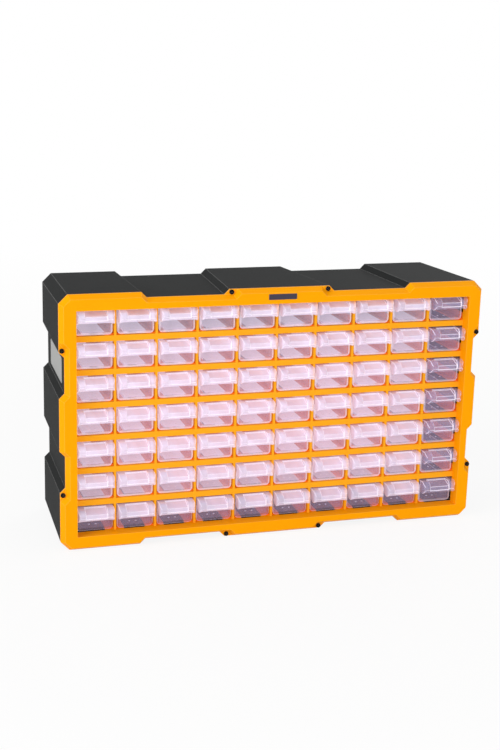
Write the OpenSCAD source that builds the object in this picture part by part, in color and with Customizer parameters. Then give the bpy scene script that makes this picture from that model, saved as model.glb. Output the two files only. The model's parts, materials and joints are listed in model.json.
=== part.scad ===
// Parts bin cabinet: a grid of clear drawers in a stepped housing.
// Millimetres. +Z is up, +X is to the right seen from the front, the front faces -Y.
// The origin is at the middle of the cabinet's footprint, on the surface it stands on.

/* [Cabinet] */
// Overall width
cabinet_w = 500; // [470:1:560]
// Overall height
cabinet_h = 292; // [275:1:340]
// Overall depth, from the front face to the back wall
cabinet_d = 150; // [120:1:200]
// Thickness of the housing's walls
housing_wall = 2.4; // [1.8:0.1:3]
// How far each side of the housing draws in towards the back
side_draft = 5; // [0:0.5:5]
// How far the top of the housing falls towards the back
top_draft = 3; // [0:0.5:5]

/* [Stepped outline] */
// Chamfer of the four outer corners
corner_chamfer = 10; // [5:0.5:16]
// Height of the raised pads above the stretches between them
pad_step = 6; // [5.5:0.1:6]
// Length of the corner pads along the top and the bottom
corner_pad_w = 91; // [70:1:120]
// Length of the upper corner pads along the sides
upper_pad_h = 63.5; // [50:0.5:75]
// Length of the lower corner pads along the sides
lower_pad_h = 67.5; // [50:0.5:75]
// Width of the middle pads at the top and the bottom
middle_pad_w = 118; // [80:1:150]
// Height of the middle pads at the sides
middle_pad_h = 60; // [40:1:75]
// How far each end of the top and bottom middle pads draws in towards the back
middle_pad_taper = 11.5; // [0:0.5:16]
// How far the corner pads' side ends draw in towards the back
corner_pad_taper = 3; // [0:0.5:10]

/* [Front frame] */
// Thickness of the front frame, in front of the housing
frame_t = 10; // [8:0.5:14]
// Width of the bevel round the front face
bevel = 4.2; // [2:0.1:5]
// Thickness of the front frame's rim and screw tabs
rim_t = 2.4; // [2:0.1:4]
// Wall of the front frame's moulding
frame_wall = 2.6; // [2:0.1:3]
// Width of the front face left and right of the drawers
face_side = 18; // [16:0.5:24]
// Height of the front face above and below the drawers
face_top = 17; // [15.5:0.5:22]
// Reach of the opening's inner walls behind the grid's front plane
inner_wall_reach = 1; // [0.5:0.1:1.5]

/* [Drawer grid] */
// Number of columns
columns = 10; // [6:2:10]
// Number of rows
rows = 7; // [5:1:7]
// Depth of the grid's front plane behind the face of the frame
grid_recess = 14.5; // [14.5:0.5:20]
// Depth of the bars, front to back
bar_d = 8; // [6:0.5:12]
// Height of the bars between rows
row_bar_h = 6.4; // [4:0.1:8]
// Width of the posts between columns
post_w = 2.6; // [2.2:0.1:4]

/* [Runners] */
// Thickness of the runner's ledges
ledge_t = 1.3; // [1.1:0.1:2]
// Reach of each ledge under a drawer, from the middle of the post
ledge_reach = 10.9; // [8:0.1:13]
// Thickness of the runner's fin
fin_t = 2; // [1.4:0.1:2.2]
// Height of the fin above the ledges
fin_h = 7.5; // [4:0.5:14]
// Thickness of the housing's ledges beside the lowest row
low_ledge_t = 2.6; // [1.8:0.1:4]

/* [Screws] */
// Length of the tab that each screw goes through
tab_l = 10; // [8:0.5:14]
// Radius of the screws' heads
screw_head_r = 2.6; // [2:0.1:2.7]
// Thickness of the screws' heads
screw_head_t = 1.6; // [1:0.1:2.2]
// Radius of the screws' shanks
screw_shank_r = 1.2; // [1:0.05:1.4]
// Length of the screws below the head
screw_l = 14; // [8:0.5:15]
// Radial clearance round a shank
screw_clear = 0.05; // [0.03:0.01:0.1]
// Wall of the bosses round the shanks
boss_wall = 1.25; // [0.8:0.05:1.25]
// Depth of the cross recess in a head
recess_depth = 0.8; // [0.4:0.1:1]
// Radius of the cross recess
recess_r = 1.5; // [1:0.1:1.9]
// Width of the cross recess's slots
recess_w = 0.6; // [0.4:0.1:0.9]

/* [Drawers] */
// Gap between a drawer's front and the posts
drawer_side_gap = 1.3; // [1:0.1:3]
// Gap between a drawer's front and the bar above
drawer_top_gap = 1.6; // [0.4:0.1:3]
// Distance from the grid's front plane back to a drawer's front
front_recess = 2; // [1:0.1:4]
// Running clearance between a drawer and its ledges
drawer_clear = 0.3; // [0.2:0.05:0.6]
// Free space behind a closed drawer
drawer_back_gap = 7; // [3:0.5:20]
// Wall thickness of a drawer
drawer_wall = 1.5; // [1.2:0.1:1.8]
// Radius of the lower corners of a drawer's front
front_r = 4.6; // [3:0.1:7]
// How far the front stands out past the tray at each side
front_lap = 1; // [0.5:0.1:1.6]
// How far the front hangs below the tray
front_hang = 1; // [0.4:0.1:1.2]
// How far the tray's rim lies below the top of the front
rim_drop = 2.2; // [0:0.1:5]
// Travel left when the stop lug is a hair from the bar
stop_spare = 1; // [0.5:0.1:3]
// Width of the stop lug at the back of a drawer
lug_w = 10; // [6:0.5:16]
// Thickness of the stop lug
lug_t = 2; // [1.5:0.1:3]
// How far the stop lug rises past the lower edge of the bar
lug_catch = 2; // [1:0.1:3]
// Radius of the two moulding pips on a drawer's floor
pip_r = 0.7; // [0.4:0.1:1]
// Height of the pips
pip_h = 0.5; // [0.3:0.1:1]
// Distance between the pips
pip_gap = 7.7; // [5:0.1:12]
// Distance from a drawer's front to its pips
pip_setback = 13; // [8:0.5:20]

/* [Drawer pull] */
// How far the hooded pull stands out from the front
hood_reach = 16; // [14:0.1:16.4]
// Height of the pull, from its top to the bottom of its lip
hood_h = 9.2; // [8.8:0.1:12]
// Radius of the pull's rounded front edge
hood_round = 7.5; // [5:0.1:8.5]
// How far the ends' lower edge falls from the lip back to the front
hood_fall = 0.6; // [0:0.1:4]
// Radius of the pull's corners seen from above
hood_r = 3.4; // [1:0.1:4]
// Width of the raised ends of the pull
hood_end_w = 8.5; // [5:0.1:12]
// How far the label panel's front lies behind the front of the raised ends
label_sink = 1; // [0.4:0.1:1.5]
// Distance from the drawer's front to the back edge of the label panel
label_setback = 2.4; // [1:0.1:4]
// Depth of the label panel's back edge below the pull's top
label_drop = 1.4; // [0.5:0.1:2.2]
// Fall of the label panel from back to front
label_fall = 4; // [3:0.1:4.4]

/* [Hidden] */
half_w = cabinet_w / 2;
face_y = -cabinet_d / 2;
seam_y = face_y + frame_t;
back_y = cabinet_d / 2;
back_inner_y = back_y - housing_wall;
grid_y = face_y + grid_recess;
grid_back_y = grid_y + bar_d;
inner_wall_y = grid_y + inner_wall_reach;
drawer_y = grid_y + front_recess;

open_w = cabinet_w - 2 * face_side;
open_h = cabinet_h - 2 * face_top;
col_pitch = (open_w + post_w) / columns;
row_pitch = (open_h + row_bar_h) / rows;
cell_w = col_pitch - post_w;
cell_h = row_pitch - row_bar_h;

drawer_w = cell_w - 2 * drawer_side_gap;
drawer_lift = ledge_t + drawer_clear - front_hang;
drawer_h = cell_h - drawer_lift - drawer_top_gap;
drawer_l = back_inner_y - drawer_back_gap - drawer_y;
tray_w = drawer_w - 2 * front_lap;
tray_h = drawer_h - rim_drop - front_hang;
tray_r = front_r - front_lap;
lug_h = cell_h - ledge_t - drawer_clear + lug_catch;
// The stop lug meets the back of the bar above when the drawer is fully out.
drawer_travel = drawer_y + drawer_l - lug_t - grid_back_y - stop_spare;
ledge_front_y = drawer_y + drawer_wall + drawer_clear;
ledge_edge = ledge_reach - post_w / 2;
hood_low_z = drawer_h - hood_h;

bore_r = screw_shank_r + screw_clear;
boss_r = bore_r + boss_wall;
boss_l = screw_l + boss_wall;
skin = 0.01;
post_seam = 0.02;
round_fn = 48;
small_fn = 24;

// The drawers of the upper rows are nodes of their own, the rest are in side-by-side pairs.
single_rows = 4;
function two_digits(n) = n < 10 ? str("0", n) : str(n);
function single_name(r, c) = str("drawer_r", r, "_c", two_digits(c));
function pair_name(r, c) = str("drawers_r", r, "_c", two_digits(c), "_c", two_digits(c + 1));
single_places = [for (r = [1:single_rows]) for (c = [1:columns]) [r, c]];
pair_places = [for (r = [single_rows + 1:rows]) for (c = [1:2:columns - 1]) [r, c]];

function cell_x(c) = -open_w / 2 + cell_w / 2 + (c - 1) * col_pitch;
function cell_z(r) = face_top + (rows - r) * row_pitch;
function post_x(k) = -open_w / 2 - post_w / 2 + k * col_pitch;

// The stepped outline in X and Z, clockwise seen from the front. side_in and top_in draw
// the sides and the top in; middle_in and corner_in shorten the pads at their screw ends.
function outline(side_in, top_in, middle_in, corner_in) =
    let (
        xo = half_w - side_in,
        xs = xo - pad_step,
        xc = half_w - corner_pad_w,
        xm = middle_pad_w / 2 - middle_in,
        zt = cabinet_h - top_in,
        zc = cabinet_h - upper_pad_h + corner_in,
        zm = cabinet_h / 2 + middle_pad_h / 2,
        zn = cabinet_h / 2 - middle_pad_h / 2,
        zd = lower_pad_h - corner_in,
        k = corner_chamfer,
        s = pad_step
    )
    concat(
        [[-xo + k, zt], [-xc, zt], [-xc + s, zt - s], [-xm - s, zt - s], [-xm, zt]],
        [[xm, zt], [xm + s, zt - s], [xc - s, zt - s], [xc, zt], [xo - k, zt]],
        [[xo, zt - k], [xo, zc], [xs, zc - s], [xs, zm + s], [xo, zm]],
        [[xo, zn], [xs, zn - s], [xs, zd + s], [xo, zd], [xo, k]],
        [[xo - k, 0], [xc, 0], [xc - s, s], [xm + s, s], [xm, 0]],
        [[-xm, 0], [-xm - s, s], [-xc + s, s], [-xc, 0], [-xo + k, 0]],
        [[-xo, k], [-xo, zd], [-xs, zd + s], [-xs, zn - s], [-xo, zn]],
        [[-xo, zm], [-xs, zm + s], [-xs, zc - s], [-xo, zc], [-xo, zt - k]]
    );

// Moves every edge of a clockwise path inwards by d.
function unit(v) = v / norm(v);
function inward(p, q) = let (u = unit(q - p)) [u[1], -u[0]];
function inset(path, d) =
    let (n = len(path))
    [for (i = [0:n - 1])
        let (
            a = inward(path[(i + n - 1) % n], path[i]),
            b = inward(path[i], path[(i + 1) % n])
        )
        path[i] + d * (a + b) / (1 + a * b)];

front_outline = outline(0, 0, 0, 0);
back_outline = outline(side_draft, top_draft, middle_pad_taper, corner_pad_taper);
raised_outline = outline(0, 0, tab_l, tab_l);
face_outline = inset(raised_outline, bevel);

// The middle of each screw tab, at the screw end of its pad.
tab_x = middle_pad_w / 2 - tab_l / 2 + pad_step / 2;
tab_in = tab_l / 2 - pad_step / 2;
screw_places = [
    for (s = [-1, 1]) for (z = [pad_step / 2, cabinet_h - pad_step / 2]) [s * tab_x, z],
    for (s = [-1, 1]) for (z = [lower_pad_h - tab_in, cabinet_h - upper_pad_h + tab_in])
        [s * (half_w - pad_step / 2), z]
];

// The end face of a loft between outlines, in triangles: a fan round the middle point, then
// the middle pad and the corner pad of each of the four sides. Every side has ten points.
function fan(ids) = [for (i = [1:len(ids) - 2]) [ids[0], ids[i], ids[i + 1]]];
function end_face(middle) =
    let (low = [for (b = [0:10:30]) for (i = [2, 3, 6, 7]) b + i])
    concat(
        [for (i = [0:15]) [middle, low[i], low[(i + 1) % 16]]],
        [for (b = [0:10:30]) each fan([for (i = [3:6]) b + i])],
        [for (b = [0:10:30]) each fan([for (i = [7:12]) (b + i) % 40])]
    );

// A closed solid between one outline at y0 and another at y1.
module loft(front, back, y0, y1) {
    n = len(front);
    middle = [0, y0, cabinet_h / 2];
    polyhedron(
        points = concat(
            [for (p = front) [p[0], y0, p[1]]], [for (p = back) [p[0], y1, p[1]]],
            [middle, middle + [0, y1 - y0, 0]]
        ),
        faces = concat(
            end_face(2 * n),
            [for (t = end_face(n + 1)) [t[2] + n, t[1] + n, t[0] + n]],
            [for (i = [0:n - 1]) each fan([i, i + n, (i + 1) % n + n, (i + 1) % n])]
        )
    );
}

// Places a child that grows along +Z so that it grows along +Y from y0.
module along_y(x, y0, z) {
    translate([x, y0, z]) rotate([-90, 0, 0]) children();
}

// Extrudes an X-Z profile from y0 to y1.
module profile_y(y0, y1) {
    translate([0, y1, 0]) rotate([90, 0, 0]) linear_extrude(y1 - y0) children();
}

// Extrudes a Y-Z profile to the width w, centred on X.
module profile_x(w) {
    rotate([90, 0, 90]) translate([0, 0, -w / 2]) linear_extrude(w) children();
}

module box(x0, x1, y0, y1, z0, z1) {
    translate([x0, y0, z0]) cube([x1 - x0, y1 - y0, z1 - z0]);
}

// The ledge of the housing that carries the outer side of the lowest row's end drawer.
module low_ledge() {
    box(
        open_w / 2 - ledge_edge, half_w - side_draft - pad_step - housing_wall / 2,
        ledge_front_y, back_inner_y + skin, face_top + ledge_t - low_ledge_t, face_top + ledge_t
    );
}

module housing() {
    color([0.22, 0.23, 0.23])
    difference() {
        union() {
            difference() {
                loft(front_outline, back_outline, seam_y, back_y);
                loft(
                    inset(front_outline, housing_wall), inset(back_outline, housing_wall),
                    seam_y - skin, back_inner_y
                );
            }
            for (p = screw_places)
                along_y(p[0], seam_y, p[1]) cylinder(h = boss_l, r = boss_r, $fn = round_fn);
            for (s = [0, 1]) mirror([s, 0, 0]) low_ledge();
        }
        for (p = screw_places)
            along_y(p[0], seam_y - skin, p[1])
                cylinder(h = screw_l - rim_t + skin, r = bore_r, $fn = round_fn);
    }
}

// The part of the front frame that surrounds the opening: a straight-walled sleeve.
module opening_box(grow, y0, y1) {
    box(
        -open_w / 2 - grow, open_w / 2 + grow, y0, y1,
        face_top - grow, cabinet_h - face_top + grow
    );
}

// A tongue of the opening's sill that carries a post and the lowest row's runner.
module sill_tongue(x) {
    box(
        x - ledge_reach, x + ledge_reach, inner_wall_y - skin, grid_back_y,
        face_top - frame_wall, face_top
    );
}

module front_frame() {
    color([1, 0.67, 0.05])
    difference() {
        union() {
            difference() {
                union() {
                    loft(front_outline, front_outline, seam_y - rim_t, seam_y);
                    loft(face_outline, raised_outline, face_y, seam_y - rim_t);
                }
                difference() {
                    loft(
                        inset(face_outline, frame_wall), inset(raised_outline, frame_wall),
                        face_y + frame_wall, seam_y + skin
                    );
                    opening_box(frame_wall, face_y, seam_y + 1);
                }
            }
            opening_box(frame_wall, seam_y - rim_t, inner_wall_y);
            for (k = [1:columns - 1]) sill_tongue(post_x(k));
        }
        opening_box(0, face_y - 1, inner_wall_y + 1);
        for (p = screw_places)
            along_y(p[0], seam_y - rim_t - 1, p[1])
                cylinder(h = rim_t + 2, r = bore_r, $fn = round_fn);
    }
}

// Bars between the rows, and the posts that stand between them.
module front_grid() {
    color([1, 0.7, 0.08]) {
        for (r = [1:rows - 1])
            box(
                -open_w / 2, open_w / 2, grid_y, grid_back_y,
                cell_z(r) - row_bar_h, cell_z(r)
            );
        for (r = [1:rows]) for (k = [1:columns - 1])
            box(
                post_x(k) - post_w / 2, post_x(k) + post_w / 2, grid_y, grid_back_y,
                cell_z(r) + post_seam, cell_z(r) + cell_h - post_seam
            );
    }
}

// A runner between two columns: a fin on ledges that pass the post on both sides.
module middle_rail() {
    linear_extrude(ledge_t)
        polygon([
            [-ledge_reach, ledge_front_y], [-post_w / 2, ledge_front_y],
            [-post_w / 2, grid_back_y], [post_w / 2, grid_back_y],
            [post_w / 2, ledge_front_y], [ledge_reach, ledge_front_y],
            [ledge_reach, back_inner_y], [-ledge_reach, back_inner_y]
        ]);
    box(-fin_t / 2, fin_t / 2, grid_back_y, back_inner_y, 0, ledge_t + fin_h);
}

// A runner at the side of the grid, for the right-hand side: a fin with one ledge.
module side_rail() {
    box(open_w / 2 - ledge_edge, open_w / 2, ledge_front_y, back_inner_y, 0, ledge_t);
    box(open_w / 2, open_w / 2 + fin_t, inner_wall_y, back_inner_y, 0, ledge_t + fin_h);
}

module runner_rails() {
    color([0.98, 0.55, 0.04])
    for (r = [1:rows]) translate([0, 0, cell_z(r)]) {
        for (k = [1:columns - 1])
            translate([post_x(k), 0, 0]) middle_rail();
        if (r < rows) for (s = [0, 1]) mirror([s, 0, 0]) side_rail();
    }
}

module frame_screw() {
    difference() {
        union() {
            translate([0, 0, -screw_head_t])
                cylinder(h = screw_head_t, r = screw_head_r, $fn = round_fn);
            cylinder(h = screw_l - skin, r = screw_shank_r, $fn = round_fn);
        }
        for (a = [0, 90]) rotate([0, 0, a])
            translate([-recess_r, -recess_w / 2, -screw_head_t - 1])
                cube([2 * recess_r, recess_w, recess_depth + 1]);
    }
}

module frame_screws() {
    color([0.08, 0.07, 0.07])
    for (p = screw_places)
        along_y(p[0], seam_y - rim_t, p[1]) frame_screw();
}

// A U-shaped profile with round lower corners.
module tray_profile(w, h, r) {
    translate([-w / 2, r]) square([w, h - r]);
    translate([-w / 2 + r, 0]) square([w - 2 * r, r]);
    for (s = [-1, 1])
        translate([s * (w / 2 - r), r]) circle(r, $fn = round_fn);
}

// The plan of the pull, from the front's plane forwards.
module hood_plan(w, reach, r) {
    linear_extrude(drawer_h) {
        translate([-w / 2, -reach + r]) square([w, reach - r]);
        translate([-w / 2 + r, -reach]) square([w - 2 * r, reach]);
        for (s = [-1, 1])
            translate([s * (w / 2 - r), -reach + r]) circle(r, $fn = small_fn);
    }
}

// The side profile of the pull's raised ends, in Y and Z.
module hood_profile() {
    round_y = -hood_reach + hood_round;
    translate([round_y, hood_low_z]) square([-round_y, hood_h]);
    polygon([
        [0, hood_low_z - hood_fall], [-hood_reach, hood_low_z],
        [-hood_reach, drawer_h - hood_round], [0, drawer_h - hood_round]
    ]);
    translate([round_y, drawer_h - hood_round]) circle(hood_round, $fn = round_fn);
}

// Height of the label panel at the distance d in front of the drawer's front.
label_reach = hood_reach - label_sink;
function label_z(d) =
    drawer_h - label_drop - label_fall * (d - label_setback) / (label_reach - label_setback);

module hood() {
    inner_reach = label_reach - drawer_wall;
    difference() {
        intersection() {
            profile_x(drawer_w) hood_profile();
            hood_plan(drawer_w, hood_reach, hood_r);
        }
        intersection() {
            profile_x(drawer_w)
                polygon([[0, 0], [0, label_z(0) - drawer_wall],
                    [-inner_reach, label_z(inner_reach) - drawer_wall],
                    [-inner_reach, 0]]);
            hood_plan(drawer_w - 2 * drawer_wall, inner_reach, hood_r - drawer_wall / 2);
        }
        profile_x(drawer_w - 2 * hood_end_w)
            polygon([[-label_setback, label_z(label_setback)],
                [-label_reach, label_z(label_reach)],
                [-label_reach, hood_low_z - 1], [-hood_reach - 1, hood_low_z - 1],
                [-hood_reach - 1, drawer_h + 1], [-label_setback, drawer_h + 1]]);
    }
}

// One drawer, with its front's lower middle at the origin and its pull towards -Y.
module drawer() {
    profile_y(0, drawer_wall) tray_profile(drawer_w, drawer_h, front_r);
    hood();
    translate([0, 0, front_hang]) {
        difference() {
            union() {
                profile_y(0, drawer_l) tray_profile(tray_w, tray_h, tray_r);
                box(-lug_w / 2, lug_w / 2, drawer_l - lug_t, drawer_l, drawer_wall, lug_h);
            }
            translate([0, 0, drawer_wall])
                profile_y(drawer_wall, drawer_l - lug_t)
                    tray_profile(tray_w - 2 * drawer_wall, tray_h, tray_r - drawer_wall);
        }
        for (s = [-1, 1])
            translate([s * pip_gap / 2, pip_setback, drawer_wall])
                cylinder(h = pip_h, r = pip_r, $fn = small_fn);
    }
}

module placed_drawer(r, c) {
    color([0.84, 0.76, 0.86, 0.6])
    translate([cell_x(c), drawer_y, cell_z(r) + drawer_lift]) drawer();
}

module drawer_pair(r, c) {
    placed_drawer(r, c);
    placed_drawer(r, c + 1);
}

housing();
front_frame();
front_grid();
runner_rails();
frame_screws();
for (p = single_places)
    placed_drawer(p[0], p[1]);
for (p = pair_places)
    drawer_pair(p[0], p[1]);
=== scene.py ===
import json
import math

import bmesh
import bpy
from bpy.props import FloatProperty, FloatVectorProperty, PointerProperty
from mathutils import Matrix, Vector

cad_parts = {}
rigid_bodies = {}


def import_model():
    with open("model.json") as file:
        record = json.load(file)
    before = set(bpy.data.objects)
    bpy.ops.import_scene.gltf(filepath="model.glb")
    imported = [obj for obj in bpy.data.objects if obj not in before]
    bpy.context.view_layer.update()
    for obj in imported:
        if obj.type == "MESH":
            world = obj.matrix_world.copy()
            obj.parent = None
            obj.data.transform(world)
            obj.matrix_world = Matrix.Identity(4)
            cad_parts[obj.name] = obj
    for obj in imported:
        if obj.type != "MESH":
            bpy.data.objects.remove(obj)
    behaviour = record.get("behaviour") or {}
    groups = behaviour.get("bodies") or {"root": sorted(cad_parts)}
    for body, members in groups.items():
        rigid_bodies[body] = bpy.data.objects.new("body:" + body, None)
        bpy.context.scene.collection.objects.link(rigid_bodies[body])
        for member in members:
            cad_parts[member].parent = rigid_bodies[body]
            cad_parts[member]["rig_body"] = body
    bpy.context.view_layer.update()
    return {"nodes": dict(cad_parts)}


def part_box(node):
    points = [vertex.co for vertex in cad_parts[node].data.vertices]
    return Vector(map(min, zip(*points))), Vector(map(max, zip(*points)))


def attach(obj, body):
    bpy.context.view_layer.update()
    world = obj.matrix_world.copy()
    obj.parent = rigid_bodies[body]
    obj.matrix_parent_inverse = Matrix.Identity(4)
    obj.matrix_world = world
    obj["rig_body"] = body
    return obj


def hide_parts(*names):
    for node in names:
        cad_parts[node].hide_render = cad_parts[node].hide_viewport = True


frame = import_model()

bl_info = {
    "name": "Parts bin cabinet",
    "version": (1, 0, 0),
    "blender": (4, 5, 0),
    "location": "3D View > Sidebar > Cabinet",
    "description": "Dresses the packed parts bin cabinet and sets its stage",
    "category": "Object",
}

NODES = frame["nodes"]
FRAME_LOW, FRAME_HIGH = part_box("front_frame")
HOUSING_LOW, HOUSING_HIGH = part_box("housing")
DRAWERS = sorted(n for n in NODES if n.startswith("drawer"))
DRAWER_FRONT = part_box("front_grid")[0].y + 0.002
COLUMN_X, COLUMN_PITCH = -0.20997, 0.04666   # middle of the first column of drawers
ROW_Z, ROW_PITCH = 0.0176, 0.037771          # bottom of the lowest row of drawers
DRAWER_WIDTH, LEDGE_GAP = 0.04146, 0.0248    # the gap between the ledges under a drawer
SIDE_RIM, LOW_RIM, RIM_EDGE = 0.0028, 0.0032, 900    # a front's rim, and how sharply it ends
BACK_BAND, FLOOR_BAND, PANEL_HALF = 0.0035, 0.004, 0.01   # reach of a drawer's zones
SKIN = 0.0005                                # how far a face may lie off the front's plane
LAST_COLUMN_X = COLUMN_X + 8.5 * COLUMN_PITCH
SCREWS, RING_SINK, RING_TUBE_RADIUS = 8, 0.0016, 0.0003
PLATE_DROP, PLATE_SHIFT, PLATE_THICKNESS = 0.00895, 0.0009, 0.0006
LABEL_HEIGHT, LABEL_THICKNESS, STEP_DEPTH = 0.203, 0.0004, 0.006
DRAW_IN, HOUSING_LENGTH = 0.005, 0.14        # how far a side leans in, and over what length
AIM = Vector((0, 0, 0.14))
CAMERA_PLACE = (-0.483352, -1.476178, 0.584732)
CAMERA_TURN, FOCAL_PIXELS, PICTURE_HEIGHT = (0.2615, -0.0129, 0.3041), 1351.244, 750
ZONES = (
    "wall", "edge", "pull", "back", "floor", "low", "end", "end_pull", "front", "end_front")


def colour(red, green, blue):
    """A colour given as it looks on screen, 0 to 255, as the linear colour that nodes take."""
    def linear(v):
        v /= 255
        return v / 12.92 if v <= 0.04045 else ((v + 0.055) / 1.055) ** 2.4
    return linear(red), linear(green), linear(blue)


# --- what a user may change -------------------------------------------------------------

class CabinetFinishes(bpy.types.PropertyGroup):
    """Colours and surface sizes of the cabinet's own parts."""

    housing: FloatVectorProperty(
        name="Housing", description="Colour of the charcoal housing",
        subtype="COLOR", size=3, min=0, max=1, default=colour(37, 38, 38))
    front: FloatVectorProperty(
        name="Front", description="Colour of the front frame",
        subtype="COLOR", size=3, min=0, max=1, default=colour(255, 163, 2))
    grid: FloatVectorProperty(
        name="Grid", description="Colour of the bars and posts between the drawers",
        subtype="COLOR", size=3, min=0, max=1, default=colour(253, 171, 30))
    # A darker, redder orange than the grid: painted shade for the runners, which lie in shade
    # behind the grid.
    runners: FloatVectorProperty(
        name="Runners", description="Colour of the runners behind the grid",
        subtype="COLOR", size=3, min=0, max=1, default=colour(250, 124, 22))
    screws: FloatVectorProperty(
        name="Screws", description="Colour of the screws and their washers",
        subtype="COLOR", size=3, min=0, max=1, default=colour(8, 7, 8))
    grain: FloatProperty(
        name="Grain", description="Size of the moulded grain on the housing",
        subtype="DISTANCE", unit="LENGTH", default=0.0011, min=0.0003, max=0.004)
    # The line along moulded edges is smoother and carries a painted highlight.
    edge_width: FloatProperty(
        name="Edge width", description="Width of the smoothed line along moulded edges",
        subtype="DISTANCE", unit="LENGTH", default=0.0008, min=0.0002, max=0.003)


class DrawerFinishes(bpy.types.PropertyGroup):
    """Colour and rounding of the clear drawers."""

    tint: FloatVectorProperty(
        name="Tint", description="Colour of the clear plastic",
        subtype="COLOR", size=3, min=0, max=1, default=colour(239, 221, 245))
    deep_tint: FloatVectorProperty(
        name="Deep tint", description="Colour of the clear plastic where little light gets in",
        subtype="COLOR", size=3, min=0, max=1, default=colour(217, 202, 243))
    # Colour of the painted highlight along a drawer's rounded edges.
    edge_highlight_tint: FloatVectorProperty(
        name="Edge tint", description="Colour of the plastic's rounded edges",
        subtype="COLOR", size=3, min=0, max=1, default=colour(239, 225, 248))
    density: FloatProperty(
        name="Density", description="How much one wall hides of what lies behind it",
        subtype="FACTOR", default=0.2, min=0, max=1)
    rounding: FloatProperty(
        name="Rounding", description="Radius of a drawer's moulded edges",
        subtype="DISTANCE", unit="LENGTH", default=0.0004, min=0.0001, max=0.0006)


class PlateSizes(bpy.types.PropertyGroup):
    """Sizes of the bare plate on the front and of the bare side labels."""

    plate_width: FloatProperty(
        name="Plate width", description="Width of the bare plate above the drawers",
        subtype="DISTANCE", unit="LENGTH", default=0.033, min=0.01, max=0.08)
    plate_height: FloatProperty(
        name="Plate height", description="Height of the bare plate above the drawers",
        subtype="DISTANCE", unit="LENGTH", default=0.0065, min=0.003, max=0.01)
    label_length: FloatProperty(
        name="Label length", description="Length of a bare side label, front to back",
        subtype="DISTANCE", unit="LENGTH", default=0.094, min=0.03, max=0.12)
    label_height: FloatProperty(
        name="Label height", description="Height of a bare side label",
        subtype="DISTANCE", unit="LENGTH", default=0.030, min=0.01, max=0.038)
    washer: FloatProperty(
        name="Washer radius", description="Radius of the ring round each screw head",
        subtype="DISTANCE", unit="LENGTH", default=0.00245, min=0.001, max=0.003)


class StageSettings(bpy.types.PropertyGroup):
    """Light and background round the cabinet."""

    floor: FloatVectorProperty(
        name="Floor", description="Colour of the floor and the background",
        subtype="COLOR", size=3, min=0, max=1, default=(0.86, 0.86, 0.86))
    sky: FloatProperty(
        name="Room light", description="Strength of the even light from all round",
        subtype="FACTOR", default=0.6, min=0, max=1)
    key: FloatProperty(
        name="Key light", description="Power of the large soft lamp at the front left",
        subtype="POWER", unit="POWER", default=25, min=0, max=200)


# --- materials ---------------------------------------------------------------------------

class Value:
    """A shader socket. Sums and products of these add the Math nodes."""

    def __init__(self, finish, socket):
        self.finish, self.socket = finish, socket

    def _math(self, operation, first, second):
        return self.finish.node("ShaderNodeMath", {"operation": operation}, {0: first, 1: second})

    def __add__(self, other):
        return self._math("ADD", self, other)

    def __sub__(self, other):
        return self._math("SUBTRACT", self, other)

    def __mul__(self, other):
        return self._math("MULTIPLY", self, other)

    def __rsub__(self, other):
        return self._math("SUBTRACT", other, self)

    __radd__ = __add__
    __rmul__ = __mul__

    def other(self, output):
        """Another output of the same node."""
        return Value(self.finish, self.socket.node.outputs[output])

    def clipped(self):
        return self.finish.node(
            "ShaderNodeClamp", {}, {"Value": self, "Min": 0.0, "Max": 1.0})


class Finish:
    """A node material under construction."""

    def __init__(self, name, world=None):
        self.owner = world or bpy.data.materials.new(name)
        self.owner.use_nodes = True
        self.tree = self.owner.node_tree
        self.tree.nodes.clear()

    def node(self, kind, settings=None, values=None, out=0):
        """A new node with its settings and inputs, and one of its outputs to go on with."""
        made = self.tree.nodes.new(kind)
        for key, value in (settings or {}).items():
            setattr(made, key, value)
        for key, value in (values or {}).items():
            socket = made.inputs[key]
            if isinstance(value, Value):
                self.tree.links.new(value.socket, socket)
            elif socket.type == "RGBA":
                socket.default_value = (*tuple(value)[:3], 1.0)
            else:
                socket.default_value = value
        return Value(self, made.outputs[out]) if len(made.outputs) else None

    def place(self, scale=(1, 1, 1)):
        """Object coordinates, with a pattern's stretch."""
        here = self.node("ShaderNodeTexCoord", out="Object")
        return self.node("ShaderNodeMapping", {}, {"Vector": here, "Scale": scale})

    def noise(self, size, detail=2.0, stretch=(1, 1, 1)):
        """A noise whose patches are about size metres across, 0 to 1."""
        return self.node(
            "ShaderNodeTexNoise", {},
            {"Vector": self.place(stretch), "Scale": 1 / size, "Detail": detail})

    def blend(self, factor, first, second):
        return self.node(
            "ShaderNodeMix", {"data_type": "RGBA"}, {0: factor, 6: first, 7: second}, 2)

    def edges(self, width):
        """1 along edges and 0 on flat stretches."""
        rounded = self.node("ShaderNodeBevel", {"samples": 4}, {"Radius": width})
        flat = self.node("ShaderNodeNewGeometry", out="Normal")
        facing = self.node(
            "ShaderNodeVectorMath", {"operation": "DOT_PRODUCT"}, {0: rounded, 1: flat}, 1)
        return ((1 - facing) * 9).clipped()

    def bump(self, height, depth, strength=1.0):
        return self.node(
            "ShaderNodeBump", {},
            {"Height": height, "Distance": depth, "Strength": strength})

    def surface(self, **values):
        names = {key.replace("_", " "): value for key, value in values.items()}
        return self.node("ShaderNodeBsdfPrincipled", {}, names)

    def finish(self, shader):
        self.node("ShaderNodeOutputMaterial", {}, {"Surface": shader})
        return self.owner


def lighter(shade, amount):
    return tuple(c + (1 - c) * amount for c in shade)


def darker(shade, amount):
    return tuple(c * (1 - amount) for c in shade)


def brighter(shade, amount):
    return tuple(min(c * (1 + amount), 1) for c in shade)


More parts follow.
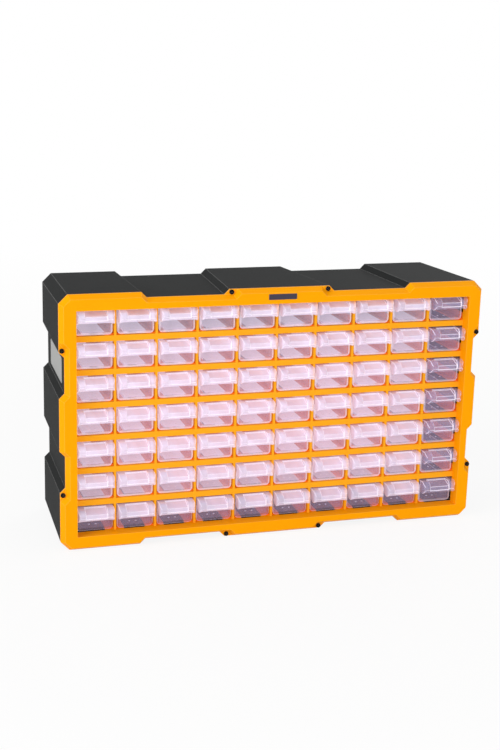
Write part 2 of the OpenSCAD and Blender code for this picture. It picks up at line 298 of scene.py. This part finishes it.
def moulded_plastic(
        name, shade, grain, depth, roughness, edge_width, edge_highlight, gloss, cloud=0.05):
    """Moulded plastic: a fine grain, faint clouds in the colour, and smoother edges with a
    painted highlight along them.
    """
    made = Finish(name)
    edge = made.edges(edge_width)
    clouds = made.noise(0.09, detail=3.0)
    fine = made.noise(grain, detail=3.0)
    base = made.blend(clouds, darker(shade, cloud), brighter(shade, cloud))
    # Painted highlight: the colour is lightened along the edges.
    painted_edge_highlight = lighter(brighter(shade, edge_highlight), edge_highlight * 0.25)
    base = made.blend(edge * 0.8, base, painted_edge_highlight)
    rough = roughness + (fine - 0.5) * 0.16 + (clouds - 0.5) * 0.08 - edge * 0.1
    bumps = made.bump(fine, depth)
    return made.finish(made.surface(
        Base_Color=base, Roughness=rough.clipped(), Normal=bumps, Specular_IOR_Level=gloss))


def screw_metal(name, shade):
    """Black-oxide steel: streaks round the head and worn edges."""
    made = Finish(name)
    edge = made.edges(0.0003)
    patches = made.noise(0.0012)
    base = made.blend(patches, darker(shade, 0.4), brighter(shade, 0.4))
    base = made.blend(edge * 0.5, base, lighter(shade, 0.25))
    rough = 0.34 + patches * 0.2
    return made.finish(made.surface(
        Base_Color=base, Roughness=rough, Metallic=0.25, Specular_IOR_Level=0.08,
        Normal=made.bump(patches, 0.00003)))


def clear_plastic(
        name, shade, density, line, glow, mottle=0.05, roughness=0.14, painted_scatter=0, rim=0):
    """Clear tinted plastic whose walls veil what is behind them, more along their edges, where a
    lighter colour paints a highlight; its glow is painted light, an emission standing in for the
    light scattered in the plastic.

    An extra density between the ledges that a drawer runs on shows more of the glow there,
    painted light for the light scattered in a drawer's floor, weaker on the lower rows as painted
    shade; a rim adds density along the sides and the bottom of a drawer's front.
    """
    made = Finish(name)
    edge = made.edges(0.0009)
    flow = made.noise(0.012, stretch=(1, 0.35, 1))
    fine = made.noise(0.0016)
    base = made.blend(flow, darker(shade, mottle), lighter(shade, mottle))
    # Painted highlight: the colour is lightened along the edges.
    base = made.blend(edge, base, lighter(shade, 0.6))
    slant = made.node("ShaderNodeLayerWeight", {}, {"Blend": 0.35}, "Facing")
    inner = made.node("ShaderNodeNewGeometry", out="Backfacing")
    veil = density * (0.85 + flow * 0.3) + slant * slant * 0.2 + edge * line
    if painted_scatter or rim:
        here = made.node("ShaderNodeTexCoord", out="Object")
        across = made.node("ShaderNodeSeparateXYZ", {}, {"Vector": here}, "X")
        height = across.other("Z")
        off_centre = made.node(
            "ShaderNodeMath", {"operation": "PINGPONG"},
            {0: across - COLUMN_X, 1: COLUMN_PITCH / 2})
    if painted_scatter:
        # Painted light between the ledges, weaker on the lower rows as painted shade.
        strength = (0.4 + (height * 13 - 0.5).clipped() * 0.6) * painted_scatter
        veil = veil + ((LEDGE_GAP / 2 - off_centre) * 1500).clipped() * strength
    if rim:
        up = made.node(
            "ShaderNodeMath", {"operation": "FLOORED_MODULO"}, {0: height - ROW_Z, 1: ROW_PITCH})
        side = ((off_centre - (DRAWER_WIDTH / 2 - SIDE_RIM)) * RIM_EDGE).clipped()
        border = (side + ((LOW_RIM - up) * RIM_EDGE).clipped()).clipped()
        veil = veil + border * rim
        base = made.blend(border * 0.6, base, lighter(shade, 0.5))
    alpha = veil * (1 - inner)
    rough = roughness + flow * 0.1
    # The glow is painted light: an emission in the plastic's own colour, standing in for
    # scattered light.
    return made.finish(made.surface(
        Base_Color=base, Roughness=rough, Alpha=alpha.clipped(), Emission_Color=base,
        Emission_Strength=glow, Normal=made.bump(fine, 0.00002)))


def plate_finish(name, shade, rim, roughness):
    """A plain plate with a fine brushed face and a slightly lighter border."""
    made = Finish(name)
    brushed = made.noise(0.0009, stretch=(0.06, 0.06, 1))
    edge = made.edges(0.0004)
    base = made.blend(brushed, darker(shade, 0.08), brighter(shade, 0.08))
    base = made.blend(edge * 0.7, base, rim)
    rough = roughness + brushed * 0.12
    return made.finish(made.surface(
        Base_Color=base, Roughness=rough, Normal=made.bump(brushed, 0.00002)))


# --- shapes ------------------------------------------------------------------------------

def new_piece(name, mesh, body, slot, *finishes):
    """An object at the origin that rides on a body, with new finishes if any are given."""
    piece = bpy.data.objects.new(name, mesh)
    bpy.context.scene.collection.objects.link(piece)
    if finishes:
        mesh.materials.clear()
    for finish in finishes:
        mesh.materials.append(finish)
    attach(piece, body)
    return piece


def repaint(node, finish):
    """Puts a finish in every material slot of a CAD node."""
    slots = NODES[node].data.materials
    for i in range(len(slots)):
        slots[i] = finish
    if not slots:
        slots.append(finish)


def settled(piece, name):
    """The piece's evaluated mesh with its modifiers applied."""
    bpy.context.view_layer.update()
    ready = piece.evaluated_get(bpy.context.evaluated_depsgraph_get())
    mesh = bpy.data.meshes.new_from_object(ready)
    mesh.name = name
    return mesh


def rounded_plate(width, height, corner, thickness, name):
    """A plate in X and Z with round corners and softened edges, its back on Y = 0."""
    bm = bmesh.new()
    ring = []
    for k, (sx, sz) in enumerate(((1, 1), (-1, 1), (-1, -1), (1, -1))):
        for i in range(5):
            a = math.radians(90 * k + 22.5 * i)
            ring.append(bm.verts.new((
                sx * (width / 2 - corner) + corner * math.cos(a), 0,
                sz * (height / 2 - corner) + corner * math.sin(a))))
    face = bm.faces.new(ring)
    moved = bmesh.ops.extrude_face_region(bm, geom=[face])["geom"]
    verts = [v for v in moved if isinstance(v, bmesh.types.BMVert)]
    bmesh.ops.translate(bm, verts=verts, vec=(0, -thickness, 0))
    bmesh.ops.recalc_face_normals(bm, faces=bm.faces)
    rims = [e for e in bm.edges if all(v in verts for v in e.verts)]
    bmesh.ops.bevel(bm, geom=rims, offset=thickness * 0.45, segments=2, affect="EDGES")
    mesh = bpy.data.meshes.new(name)
    bm.to_mesh(mesh)
    bm.free()
    return mesh


def ring_tree(finish):
    """Geometry Nodes: a ring round each point, lying in the plane of X and Z."""
    tree = bpy.data.node_groups.new("screw_washers", "GeometryNodeTree")
    side = tree.interface
    side.new_socket("Places", in_out="INPUT", socket_type="NodeSocketGeometry")
    side.new_socket("Radius", in_out="INPUT", socket_type="NodeSocketFloat")
    side.new_socket("Tube radius", in_out="INPUT", socket_type="NodeSocketFloat")
    side.new_socket("Rings", in_out="OUTPUT", socket_type="NodeSocketGeometry")
    add, link = tree.nodes.new, tree.links.new
    given, result = add("NodeGroupInput"), add("NodeGroupOutput")
    circle = add("GeometryNodeCurvePrimitiveCircle")
    profile = add("GeometryNodeCurvePrimitiveCircle")
    circle.inputs["Resolution"].default_value = 32
    profile.inputs["Resolution"].default_value = 8
    tube, spread = add("GeometryNodeCurveToMesh"), add("GeometryNodeInstanceOnPoints")
    spread.inputs["Rotation"].default_value = (math.pi / 2, 0, 0)
    real, paint = add("GeometryNodeRealizeInstances"), add("GeometryNodeSetMaterial")
    paint.inputs["Material"].default_value = finish
    link(given.outputs["Radius"], circle.inputs["Radius"])
    link(given.outputs["Tube radius"], profile.inputs["Radius"])
    link(circle.outputs["Curve"], tube.inputs["Curve"])
    link(profile.outputs["Curve"], tube.inputs["Profile Curve"])
    link(given.outputs["Places"], spread.inputs["Points"])
    link(tube.outputs["Mesh"], spread.inputs["Instance"])
    link(spread.outputs["Instances"], real.inputs["Geometry"])
    link(real.outputs["Geometry"], paint.inputs["Geometry"])
    link(paint.outputs["Geometry"], result.inputs["Rings"])
    return tree


# --- operators ---------------------------------------------------------------------------

class CABINET_OT_housing(bpy.types.Operator):
    """Give the housing its grained charcoal finish"""

    bl_idname = "cabinet.housing"
    bl_label = "Housing"

    def execute(self, context):
        look = context.scene.cabinet_finishes
        # The housing's edges take a strong painted highlight.
        repaint("housing", moulded_plastic(
            "charcoal_grained", look.housing, grain=look.grain, depth=0.00008, roughness=0.6,
            edge_width=look.edge_width * 1.6, edge_highlight=0.8, gloss=0.02, cloud=0.10))
        return {"FINISHED"}


class CABINET_OT_front(bpy.types.Operator):
    """Give the front frame, the grid and the runners their orange finishes"""

    bl_idname = "cabinet.front"
    bl_label = "Front and runners"

    def execute(self, context):
        look = context.scene.cabinet_finishes
        satin = dict(grain=0.0009, depth=0.00003, roughness=0.45)
        thin = look.edge_width * 0.6
        # The edges of the frame, the grid and the runners take a painted highlight.
        orange = moulded_plastic(
            "orange_satin", look.front, **satin, edge_width=look.edge_width, edge_highlight=0.3,
            gloss=0.03)
        grid = moulded_plastic(
            "grid_satin", look.grid, **satin, edge_width=thin, edge_highlight=0.2, gloss=0.05)
        # The runners' darker orange is painted shade.
        deep = moulded_plastic(
            "runner_satin", look.runners, **satin, edge_width=thin, edge_highlight=0.1, gloss=0.05)
        repaint("front_frame", orange)
        repaint("front_grid", grid)
        repaint("runner_rails", deep)
        return {"FINISHED"}


class CABINET_OT_screws(bpy.types.Operator):
    """Finish the screws and lay a thin ring round each head"""

    bl_idname = "cabinet.screws"
    bl_label = "Screws and washers"

    def execute(self, context):
        finishes, sizes = context.scene.cabinet_finishes, context.scene.cabinet_plates
        metal = screw_metal("screw_black_oxide", finishes.screws)
        repaint("frame_screws", metal)
        copy = bmesh.new()
        copy.from_mesh(NODES["frame_screws"].data)
        bmesh.ops.remove_doubles(copy, verts=copy.verts, dist=1e-6)
        places, seen = [], set()
        for start in copy.verts:
            if start in seen:
                continue
            stack, island = [start], []
            seen.add(start)
            while stack:
                v = stack.pop()
                island.append(v.co.copy())
                for e in v.link_edges:
                    w = e.other_vert(v)
                    if w not in seen:
                        seen.add(w)
                        stack.append(w)
            low = Vector(min(p[i] for p in island) for i in range(3))
            high = Vector(max(p[i] for p in island) for i in range(3))
            places.append(((low.x + high.x) / 2, low.y + RING_SINK, (low.z + high.z) / 2))
        copy.free()
        if len(places) != SCREWS:
            raise RuntimeError(f"expected {SCREWS} screws and found {len(places)}")
        points = bpy.data.meshes.new("washer_places")
        points.from_pydata(places, [], [])
        maker = bpy.data.objects.new("washer_maker", points)
        context.scene.collection.objects.link(maker)
        tree = ring_tree(metal)
        rings = maker.modifiers.new("rings", "NODES")
        rings.node_group = tree
        inputs = {item.name: item.identifier for item in tree.interface.items_tree}
        rings[inputs["Radius"]] = sizes.washer
        rings[inputs["Tube radius"]] = RING_TUBE_RADIUS
        mesh = settled(maker, "screw_washers")
        maker.modifiers.clear()
        bpy.data.objects.remove(maker)
        new_piece("screw_washers", mesh, "cabinet", "screw_black", metal)
        return {"FINISHED"}


class CABINET_OT_drawers(bpy.types.Operator):
    """Stand a clear drawer with rounded edges in for each plain one"""

    bl_idname = "cabinet.drawers"
    bl_label = "Drawers"

    def execute(self, context):
        look = context.scene.cabinet_drawers
        tint, deep, bright = look.tint, look.deep_tint, look.edge_highlight_tint
        density = look.density
        # Per zone: the glow is painted light, standing in for light scattered in the plastic,
        # strongest on back walls and floors; the edge zone, on bevelled edges and the middle of
        # each pull, takes the edge tint and a thick veil as a painted highlight, and the pull
        # zone takes the edge tint too; row 7 (low) and the last column (end, end_pull, end_front)
        # take the deep tint and less glow as painted shade.
        made = {
            "wall": dict(shade=tint, density=density, line=0.35, glow=0.2),
            "edge": dict(shade=bright, density=0.66, line=0.2, glow=0.17, mottle=0.02,
                         roughness=0.1),
            "pull": dict(shade=bright, density=0.54, line=0.2, glow=0.17),
            "back": dict(shade=tint, density=0.8, line=0.1, glow=0.36),
            "floor": dict(shade=lighter(deep, 0.45), density=density, line=0.1, glow=0.33,
                          painted_scatter=0.75),
            "low": dict(shade=deep, density=density, line=0.35, glow=0.12),
            "end": dict(shade=deep, density=density * 0.9, line=0.35, glow=0.13),
            "end_pull": dict(shade=deep, density=density * 1.3, line=0.3, glow=0.13),
            "front": dict(shade=tint, density=density, line=0.35, glow=0.22, rim=0.3),
            "end_front": dict(shade=deep, density=density * 0.9, line=0.35, glow=0.16,
                              rim=0.25),
        }
        finishes = [clear_plastic(f"drawer_clear_{zone}", **made[zone]) for zone in ZONES]
        for node in DRAWERS:
            self.one_drawer(context, node, look.rounding, finishes)
        return {"FINISHED"}

    def zone(self, node, face, bottom, end):
        """Which finish a face of a drawer takes, from where it lies and how it faces."""
        middle, normal = face.calc_center_median(), face.normal
        last = middle.x > LAST_COLUMN_X
        aside = (middle.x - COLUMN_X + COLUMN_PITCH / 2) % COLUMN_PITCH - COLUMN_PITCH / 2
        if middle.y < DRAWER_FRONT - SKIN:
            # The middle panel of a pull takes the edge finish, a painted highlight.
            panel = abs(aside) < PANEL_HALF and normal.y < -0.3
            return "end_pull" if last else "edge" if panel else "pull"
        in_front = middle.y < DRAWER_FRONT + SKIN and normal.y < -0.9
        # The last column and row 7 take darker finishes: painted shade.
        if last:
            return "end_front" if in_front else "end"
        if node.startswith("drawers_r7"):
            return "low"
        if in_front:
            return "front"
        if middle.y > end - BACK_BAND:
            return "back"
        return "floor" if normal.z > 0.99 and middle.z < bottom + FLOOR_BAND else "wall"

    def one_drawer(self, context, node, rounding, finishes):
        bm = bmesh.new()
        bm.from_mesh(NODES[node].data)
        bmesh.ops.remove_doubles(bm, verts=bm.verts, dist=2e-6)
        bmesh.ops.dissolve_limit(
            bm, angle_limit=math.radians(0.5), verts=bm.verts, edges=bm.edges)
        bottom, end = min(v.co.z for v in bm.verts), max(v.co.y for v in bm.verts)
        for face in bm.faces:
            face.smooth = False
            face.material_index = ZONES.index(self.zone(node, face, bottom, end))
        merged = bpy.data.meshes.new(node + "_merged")
        bm.to_mesh(merged)
        bm.free()
        for finish in finishes:
            merged.materials.append(finish)
        maker = bpy.data.objects.new(node + "_maker", merged)
        context.scene.collection.objects.link(maker)
        soften = maker.modifiers.new("soften", "BEVEL")
        soften.width = rounding
        soften.segments = 1
        soften.limit_method = "ANGLE"
        soften.angle_limit = math.radians(35)
        # The new bevel faces take the edge finish: a painted highlight along each rounded edge.
        soften.material = ZONES.index("edge")
        soften.use_clamp_overlap = False
        mesh = settled(maker, node + "_clear")
        maker.modifiers.clear()
        bpy.data.objects.remove(maker)
        piece = new_piece(node + "_clear", mesh, NODES[node]["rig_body"], "drawer_clear")
        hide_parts(node)


class CABINET_OT_plate(bpy.types.Operator):
    """Fix the bare plate above the drawers"""

    bl_idname = "cabinet.plate"
    bl_label = "Bare plate"

    def execute(self, context):
        sizes = context.scene.cabinet_plates
        mesh = rounded_plate(
            sizes.plate_width, sizes.plate_height, 0.0006, PLATE_THICKNESS, "front_plate")
        place = (PLATE_SHIFT, FRAME_LOW.y, FRAME_HIGH.z - PLATE_DROP)
        mesh.transform(Matrix.Translation(place))
        dark = plate_finish(
            "plate_dark", colour(46, 38, 58), colour(120, 96, 104), 0.3)
        new_piece("front_plate", mesh, "cabinet", "housing_charcoal", dark)
        return {"FINISHED"}


class CABINET_OT_labels(bpy.types.Operator):
    """Fix a bare label in the upper step of each side"""

    bl_idname = "cabinet.labels"
    bl_label = "Bare side labels"

    def execute(self, context):
        sizes = context.scene.cabinet_plates
        silver = plate_finish(
            "label_silver", colour(138, 138, 136), colour(90, 90, 89), 0.34)
        lean = math.atan2(DRAW_IN, HOUSING_LENGTH)
        inward = STEP_DEPTH - DRAW_IN * HOUSING_LOW.y / HOUSING_LENGTH
        for side, name in ((-1, "left"), (1, "right")):
            mesh = rounded_plate(
                sizes.label_length, sizes.label_height, 0.003, LABEL_THICKNESS,
                f"side_label_{name}")
            mesh.transform(Matrix.Rotation(side * (math.pi / 2 + lean), 4, "Z"))
            place = (side * (HOUSING_HIGH.x - inward), 0, LABEL_HEIGHT)
            mesh.transform(Matrix.Translation(place))
            new_piece(f"side_label_{name}", mesh, "cabinet", "housing_charcoal", silver)
        return {"FINISHED"}


class CABINET_OT_stage(bpy.types.Operator):
    """Set the floor, the lamps and the camera"""

    bl_idname = "cabinet.stage"
    bl_label = "Stage"

    def execute(self, context):
        scene, light = context.scene, context.scene.cabinet_stage
        self.floor(scene, light)
        self.world(scene, light)
        self.lamp(scene, "key_lamp", (-2.1, -0.8, 1.1), 1.3, light.key)
        self.lamp(scene, "fill_lamp", (-0.3, -2.4, 0.8), 1.1, light.key * 0.68)
        self.lamp(scene, "rim_lamp", (1.6, 1.8, 1.6), 1.4, light.key * 0.5)
        self.camera(scene)
        scene.view_settings.view_transform = "Standard"
        scene.cycles.transparent_max_bounces = 24
        return {"FINISHED"}

    def seen(self, made):
        """1 for what the camera, a reflection or a refraction looks at."""
        camera = made.node("ShaderNodeLightPath", out="Is Camera Ray")
        glossy, through = camera.other("Is Glossy Ray"), camera.other("Is Transmission Ray")
        return (camera + glossy + through).clipped()

    def floor(self, scene, light):
        bm = bmesh.new()
        bmesh.ops.create_grid(bm, x_segments=8, y_segments=8, size=6)
        mesh = bpy.data.meshes.new("floor")
        bm.to_mesh(mesh)
        bm.free()
        floor = bpy.data.objects.new("floor", mesh)
        scene.collection.objects.link(floor)
        made = Finish("floor_pale")
        paint = made.node("ShaderNodeBsdfDiffuse", {}, {"Color": light.floor})
        glow = made.node("ShaderNodeEmission", {}, {"Color": (1, 1, 1), "Strength": 1.0})
        here = made.node("ShaderNodeTexCoord", out="Object")
        far = made.node("ShaderNodeVectorMath", {"operation": "LENGTH"}, {0: here}, 1)
        share = self.seen(made) * (0.88 + ((far - 0.5) * 0.7).clipped() * 0.12)
        mesh.materials.append(made.finish(made.node(
            "ShaderNodeMixShader", {}, {0: share, 1: paint, 2: glow})))

    def world(self, scene, light):
        world = bpy.data.worlds.new("studio")
        scene.world = world
        made = Finish("studio", world)
        strength = self.seen(made) * (1 - light.sky) + light.sky
        glow = made.node("ShaderNodeBackground", {}, {"Color": (1, 1, 1), "Strength": strength})
        made.node("ShaderNodeOutputWorld", {}, {"Surface": glow})

    def lamp(self, scene, name, place, size, power):
        data = bpy.data.lights.new(name, "AREA")
        data.shape = "DISK"
        data.size = size
        data.energy = power
        lamp = bpy.data.objects.new(name, data)
        turn = (AIM - Vector(place)).to_track_quat("-Z", "Y").to_matrix().to_4x4()
        lamp.matrix_world = Matrix.Translation(place) @ turn
        scene.collection.objects.link(lamp)

    def camera(self, scene):
        turn = Vector(CAMERA_TURN)
        rows = Matrix.Rotation(turn.length, 3, turn)
        axes = Matrix((rows[0], rows[2], -rows[1])).transposed().to_4x4()
        data = bpy.data.cameras.new("camera")
        data.sensor_width = 36
        data.lens = FOCAL_PIXELS * data.sensor_width / PICTURE_HEIGHT
        data.clip_end = 50
        camera = bpy.data.objects.new("camera", data)
        camera.matrix_world = Matrix.Translation(CAMERA_PLACE) @ axes
        scene.collection.objects.link(camera)
        scene.camera = camera


class CABINET_PT_sidebar(bpy.types.Panel):
    """The cabinet's finishes, plates and stage"""

    bl_idname = "CABINET_PT_sidebar"
    bl_label = "Parts bin cabinet"
    bl_space_type = "VIEW_3D"
    bl_region_type = "UI"
    bl_category = "Cabinet"

    def draw(self, context):
        for group in SETTINGS:
            box = self.layout.box()
            owner = getattr(context.scene, group)
            for key in owner.__annotations__:
                box.prop(owner, key)
        for step in STEPS:
            self.layout.operator(step.bl_idname)


SETTINGS = {
    "cabinet_finishes": CabinetFinishes,
    "cabinet_drawers": DrawerFinishes,
    "cabinet_plates": PlateSizes,
    "cabinet_stage": StageSettings,
}
STEPS = (
    CABINET_OT_housing, CABINET_OT_front, CABINET_OT_screws, CABINET_OT_drawers,
    CABINET_OT_plate, CABINET_OT_labels, CABINET_OT_stage,
)
CLASSES = (*SETTINGS.values(), *STEPS, CABINET_PT_sidebar)


def register():
    for entry in CLASSES:
        bpy.utils.register_class(entry)
    for name, group in SETTINGS.items():
        setattr(bpy.types.Scene, name, PointerProperty(type=group))


def unregister():
    for name in SETTINGS:
        delattr(bpy.types.Scene, name)
    for entry in reversed(CLASSES):
        bpy.utils.unregister_class(entry)


def main():
    register()
    for step in STEPS:
        module, name = step.bl_idname.split(".")
        getattr(getattr(bpy.ops, module), name)()


if __name__ == "__main__":
    main()
